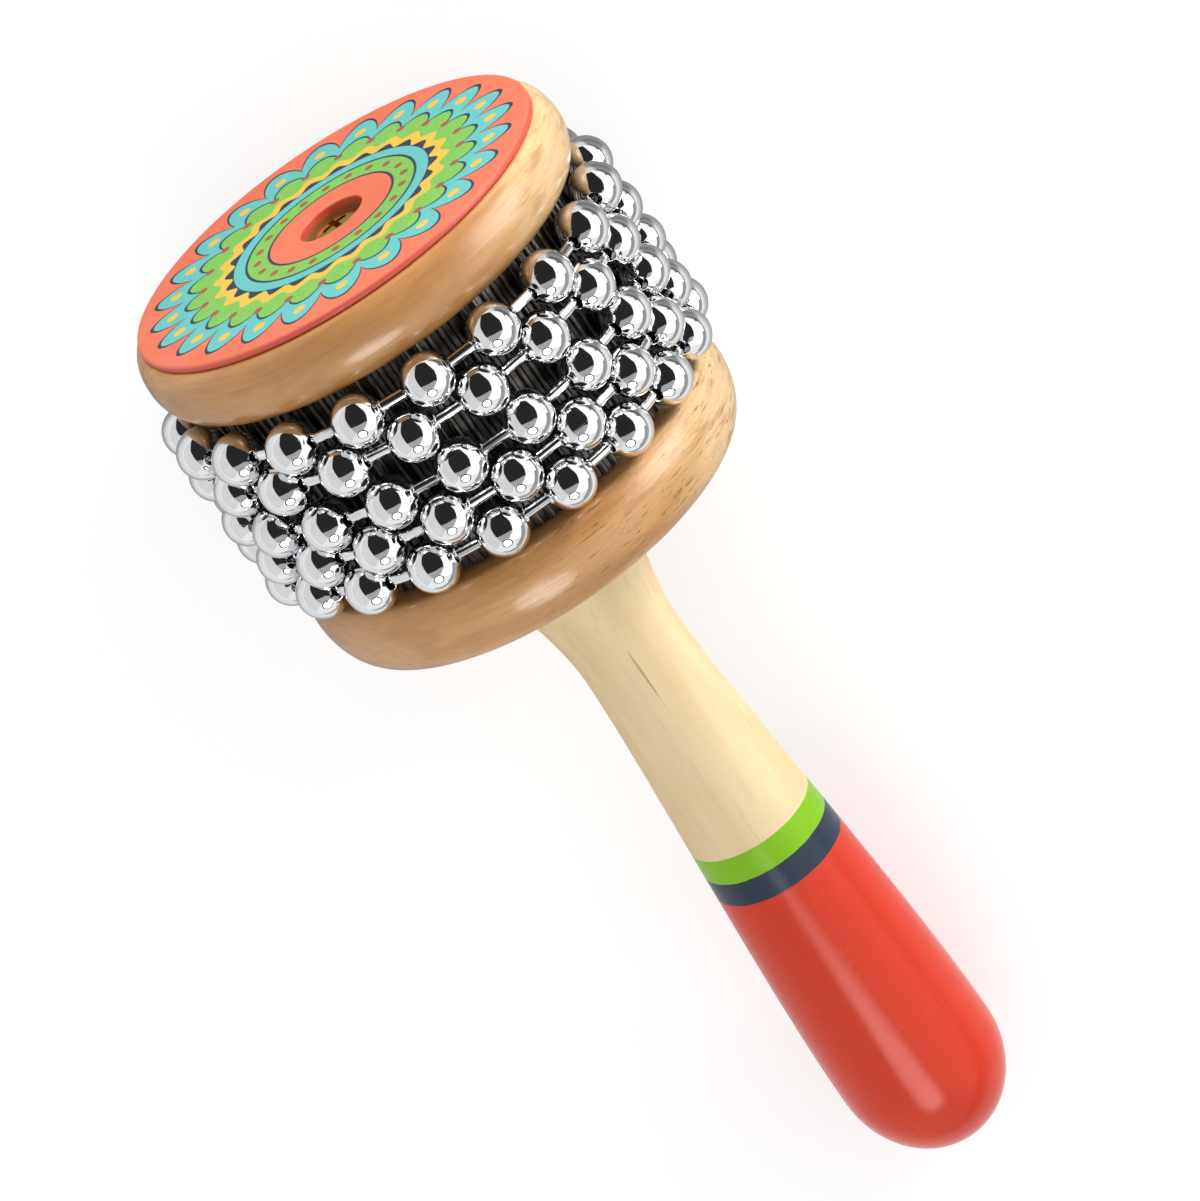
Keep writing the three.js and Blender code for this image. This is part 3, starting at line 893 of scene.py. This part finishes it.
def ribbed_sleeve(material):
    low, high = span("ribbed_sleeve")
    radius = reach("ribbed_sleeve")
    valley = radius - RIB_HEIGHT
    inner = valley - SHEET_THICKNESS
    count = round(2 * math.pi * radius / RIB_PITCH)
    width = RIB_PITCH * RIB_WIDTH_SHARE / 2
    section = [(inner, low), (valley, low), (valley, high), (inner, high), (inner, low)]
    sheet = turned("sleeve_sheet", section, Matrix(), count * 2)
    shape = bmesh.new()
    outline = [(-RIB_ROOT, -width)] + arc((0, 0), RIB_HEIGHT, width, -90, 90, 8) + [(-RIB_ROOT, width)]
    ends = [[shape.verts.new((out, across, height)) for out, across in outline] for height in (low, high)]
    shape.faces.new(ends[0][::-1])
    shape.faces.new(ends[1])
    for step in range(len(outline)):
        after = (step + 1) % len(outline)
        shape.faces.new((ends[0][step], ends[0][after], ends[1][after], ends[1][step]))
    rib = solid("sleeve_rib", shape, Matrix())
    sleeve = grown(
        "ribbed_sheet", sleeve_tree(), Sheet=sheet, Rib=rib, Count=count, Radius=valley, Finish=material,
    )
    sleeve.data.transform(PLACE)
    bpy.data.objects.remove(sheet)
    bpy.data.objects.remove(rib)
    return sleeve


def build_body():
    beech = disc_finish()
    brass = metal_finish("Brass", BRASS, BRASS_WORN, smooth=0.14, rough=0.3, scale=600)
    # The sleeve's steel takes dark colours: painted shade between the ball rows.
    steel = metal_finish("Ribbed steel in painted shade", SHADED_STEEL, SHADED_STEEL_SMEAR, smooth=0.33, rough=0.5, scale=300)
    handle = turned("turned_handle", handle_profile(), PLACE, HANDLE_SIDES)
    finished(handle, "body", "handle", handle_finish())
    finished(lower_disc(), "body", "lower_disc", beech)
    finished(upper_disc(), "body", "upper_disc", beech)
    finished(face_plate(), "body", "face_plate", face_finish())
    finished(drum_core(), "body", "drum_core", core_finish())
    finished(screw_washer(), "body", "screw_washer", brass)
    finished(center_screw(), "body", "center_screw", brass)
    finished(ribbed_sleeve(steel), "body", "ribbed_sleeve")


def build_rows():
    chrome = metal_finish("Chain chrome", CHROME, CHROME_WORN, smooth=0.03, rough=0.09, scale=500)
    ring = reach("chain_row_1") - BALL_RADIUS
    half_step = math.pi / BALLS_PER_ROW
    mouth = math.sqrt(BALL_RADIUS ** 2 - BALL_MOUTH_RADIUS ** 2)
    ball = chain_ball()
    link = 2 * ring * math.sin(half_step) - 2 * mouth
    pin = chain_pin(link)
    tree = row_tree()
    for number in range(1, len(joints) + 1):
        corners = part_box(f"chain_coupling_{number}")
        center = (corners[0] + corners[1]) / 2
        spot = INTO_DRUM @ center
        row = grown(
            f"ball_row_{number}", tree, Ball=ball, Pin=pin, Count=BALLS_PER_ROW, Ring_Radius=ring,
            First_Angle=math.atan2(spot.y, spot.x) + half_step, Seed=number, Finish=chrome,
        )
        row.data.transform(PLACE @ Matrix.Translation((0, 0, spot.z)))
        finished(row, f"row_{number}", f"chain_row_{number}")
        tube = coupling(number, center, link - 2 * COUPLING_END_GAP)
        finished(tube, f"row_{number}", f"chain_coupling_{number}", chrome)
    bpy.data.objects.remove(ball)
    bpy.data.objects.remove(pin)


def seen_directly(tree):
    """1 for rays from the camera, off a mirror or through glass."""
    path = tree.nodes.new("ShaderNodeLightPath")
    seen = path.outputs["Is Camera Ray"]
    for name in ("Is Glossy Ray", "Is Transmission Ray"):
        most = tree.nodes.new("ShaderNodeMath")
        most.operation = "MAXIMUM"
        tree.links.new(seen, most.inputs[0])
        tree.links.new(path.outputs[name], most.inputs[1])
        seen = most.outputs[0]
    return seen


def panel(name, corners, material):
    """A flat panel of the stage from its corners."""
    shape = bmesh.new()
    shape.faces.new([shape.verts.new(corner) for corner in corners])
    mesh = bpy.data.meshes.new(name)
    shape.to_mesh(mesh)
    shape.free()
    mesh.materials.append(material)
    made = bpy.data.objects.new(name, mesh)
    bpy.context.scene.collection.objects.link(made)
    return made


SQUARE = [(-1, -1), (1, -1), (1, 1), (-1, 1)]


def add_floor():
    """A white floor that keeps a soft shadow; the camera and mirrors also see it glow."""
    material = bpy.data.materials.new("White floor")
    material.use_nodes = True
    tree = material.node_tree
    tree.nodes.remove(tree.nodes["Principled BSDF"])
    white = tree.nodes.new("ShaderNodeBsdfDiffuse")
    white.inputs["Color"].default_value = FLOOR_COLOUR
    faint = tree.nodes.new("ShaderNodeBsdfDiffuse")
    faint.inputs["Color"].default_value = FLOOR_SHADE
    glow = tree.nodes.new("ShaderNodeEmission")
    place = tree.nodes.new("ShaderNodeTexCoord")
    distance = tree.nodes.new("ShaderNodeVectorMath")
    distance.operation = "LENGTH"
    tree.links.new(place.outputs["Object"], distance.inputs[0])
    level = tree.nodes.new("ShaderNodeMapRange")
    level.inputs["From Min"].default_value = GLOW_NEAR
    level.inputs["From Max"].default_value = GLOW_FAR
    level.inputs["To Min"].default_value = GLOW_AT_OBJECT
    tree.links.new(distance.outputs["Value"], level.inputs["Value"])
    tree.links.new(level.outputs["Result"], glow.inputs["Strength"])
    both = tree.nodes.new("ShaderNodeAddShader")
    tree.links.new(faint.outputs[0], both.inputs[0])
    tree.links.new(glow.outputs[0], both.inputs[1])
    choice = tree.nodes.new("ShaderNodeMixShader")
    tree.links.new(seen_directly(tree), choice.inputs[0])
    tree.links.new(white.outputs[0], choice.inputs[1])
    tree.links.new(both.outputs[0], choice.inputs[2])
    tree.links.new(choice.outputs[0], tree.nodes["Material Output"].inputs["Surface"])
    panel("Floor", [(x * FLOOR_HALF, y * FLOOR_HALF, 0) for x, y in SQUARE], material)


def add_world():
    """A white room, which lights the object less than it shows."""
    world = bpy.data.worlds.new("White room")
    bpy.context.scene.world = world
    world.use_nodes = True
    tree = world.node_tree
    background = tree.nodes["Background"]
    background.inputs["Color"].default_value = (1, 1, 1, 1)
    level = tree.nodes.new("ShaderNodeMapRange")
    level.inputs["To Min"].default_value = ROOM_LIGHT
    tree.links.new(seen_directly(tree), level.inputs["Value"])
    tree.links.new(level.outputs["Result"], background.inputs["Strength"])


ACROSS = Vector((IMAGE_RIGHT.x, IMAGE_RIGHT.y, 0)).normalized()
UPWARDS = Vector((0, 0, 1)).cross(ACROSS)


def from_head(across, upwards, height):
    """A place from its distances to the head, as the picture is turned."""
    return Vector((axis_point.x, axis_point.y, height)) + ACROSS * across + UPWARDS * upwards


def towards(bearing, elevation):
    """A direction; its bearing is from the picture's right, anticlockwise, in degrees."""
    around = ACROSS * math.cos(math.radians(bearing)) + UPWARDS * math.sin(math.radians(bearing))
    return around * math.cos(math.radians(elevation)) + Vector((0, 0, math.sin(math.radians(elevation))))


def add_card(name, corners, brightness):
    """A card that only mirrors see; its brightness can be a formula."""
    make = Finish(name)
    make.tree.nodes.remove(make.surface)
    glow = make.add("ShaderNodeEmission")
    make.feed(glow.inputs["Strength"], brightness(make) if callable(brightness) else brightness)
    make.feed(make.tree.nodes["Material Output"].inputs["Surface"], glow.outputs[0])
    card = panel(name, corners, make.material)
    card.visible_camera = False
    card.visible_diffuse = False
    card.visible_shadow = False
    card.visible_transmission = False


def add_ceiling(name, brightness, outline):
    """A flat card over the head, from an outline as the picture is turned."""
    add_card(name, [from_head(x, y, CEILING_HEIGHT) for x, y in outline], brightness)


def add_facing_card(name, way, distance, radius, brightness, sides=32):
    """A card that faces the head, with equal sides."""
    center = from_head(0, 0, axis_point.z) + way * distance
    across = Vector((0, 0, 1)).cross(way).normalized()
    upwards = way.cross(across)
    corners = []
    for step in range(sides):
        turn = 2 * math.pi * (step + 0.5) / sides
        corners.append(center + (across * math.cos(turn) + upwards * math.sin(turn)) * radius)
    add_card(name, corners, brightness)


def mirrored_floor(make):
    """The floor as the balls mirror it: painted shade darkens it by the drum, painted light brightens it
    near on the right, it is grey far to the right and flagged behind.
    """
    x, y = make.parts(make.add("ShaderNodeTexCoord").outputs["Object"])[:2]
    x = x - axis_point.x
    y = y - axis_point.y
    distance = (x * x + y * y).math("SQRT")
    across = x * ACROSS.x + y * ACROSS.y
    bearing = (x * UPWARDS.x + y * UPWARDS.y).math("ARCTAN2", across)
    # Painted light: near on the right the mirrored floor is brighter, as the lamps light it; far to the
    # right it turns grey.
    lit = across.ramp(-0.05, 0.15) * (distance.ramp(0.24, 0.4) * -0.6 + 0.15)
    flag = bearing.ramp(0.5, 0.8) * bearing.ramp(1.65, 1.35) * distance.ramp(0.05, 0.11)
    # Painted shade: the mirrored floor darkens towards the drum.
    return (distance.ramp(0.02, 0.2) * 0.66 + 0.2 + lit) * (flag * -0.65 + 1.0)


def add_lamp(name, way, distance, shape, size, watts):
    """A soft lamp aimed at the head, which no mirror sees; cards give the highlights."""
    light = bpy.data.lights.new(name, "AREA")
    light.shape = shape
    light.size = size
    light.energy = watts
    lamp = bpy.data.objects.new(name, light)
    lamp.location = from_head(0, 0, axis_point.z) + way * distance
    lamp.rotation_euler = way.to_track_quat("Z", "Y").to_euler()
    lamp.visible_glossy = False
    bpy.context.scene.collection.objects.link(lamp)


build_body()
build_rows()
add_floor()
add_world()
add_ceiling("Dark ceiling", 0.025, [
    (-0.55, -0.53), (0.6, 0.07), (0.96, 0.14), (0.97, 0.67), (0.86, 1.38), (0.29, 2.62), (-2.6, 13.8),
    (-10.7, 12.4), (-2.39, 1.75), (-1.52, 0.42), (-0.94, -0.13),
])
add_ceiling("Dim ceiling", 0.45, [(-0.55, -0.53), (-0.1, -1), (0.5, -0.75), (0.96, 0.14), (0.6, 0.07)])
add_ceiling("Pale ceiling", 0.8, [
    (-0.55, -0.53), (-0.94, -0.13), (-1.52, 0.42), (-2.39, 1.75), (-10.7, 12.4), (-14, -4), (-4, -12),
    (-0.1, -1),
])
add_ceiling("Bright ceiling", 1.4, [
    (0.96, 0.14), (0.5, -0.75), (7, -3), (6, 7), (-2.6, 13.8), (0.29, 2.62), (0.86, 1.38), (0.97, 0.67),
])
low_lamp_way = towards(-68, 39)
add_facing_card("Lamp rim", low_lamp_way, distance=1.0, radius=0.33, brightness=0.05)
add_facing_card("Low lamp card", low_lamp_way, LOW_LAMP_DISTANCE, LOW_LAMP_RADIUS, brightness=8.0)
add_facing_card("Softbox card", towards(30, 18), distance=1.3, radius=0.566, brightness=6.0, sides=4)
half = FLOOR_CARD_HALF
floor_corners = [from_head(x * half, y * half, FLOOR_CARD_HEIGHT) for x, y in SQUARE]
add_card("Floor card", floor_corners, mirrored_floor)
gap_corners = [from_head(2.5, y, z) for y, z in [(-3, 0), (4, 0), (4, 0.45), (-3, 0.45)]]
add_card("Gap card", gap_corners, brightness=0.35)
add_lamp("Key softbox", towards(58, 7), 1.3, "SQUARE", LAMP_SIZE, watts=13.2)
add_lamp("Face light", towards(118, 9), 1.2, "SQUARE", LAMP_SIZE, watts=6.6)
add_lamp("Low lamp", low_lamp_way, LOW_LAMP_DISTANCE, "DISK", LOW_LAMP_RADIUS * 2, watts=1.3)

bpy.context.scene.view_settings.view_transform = "Standard"
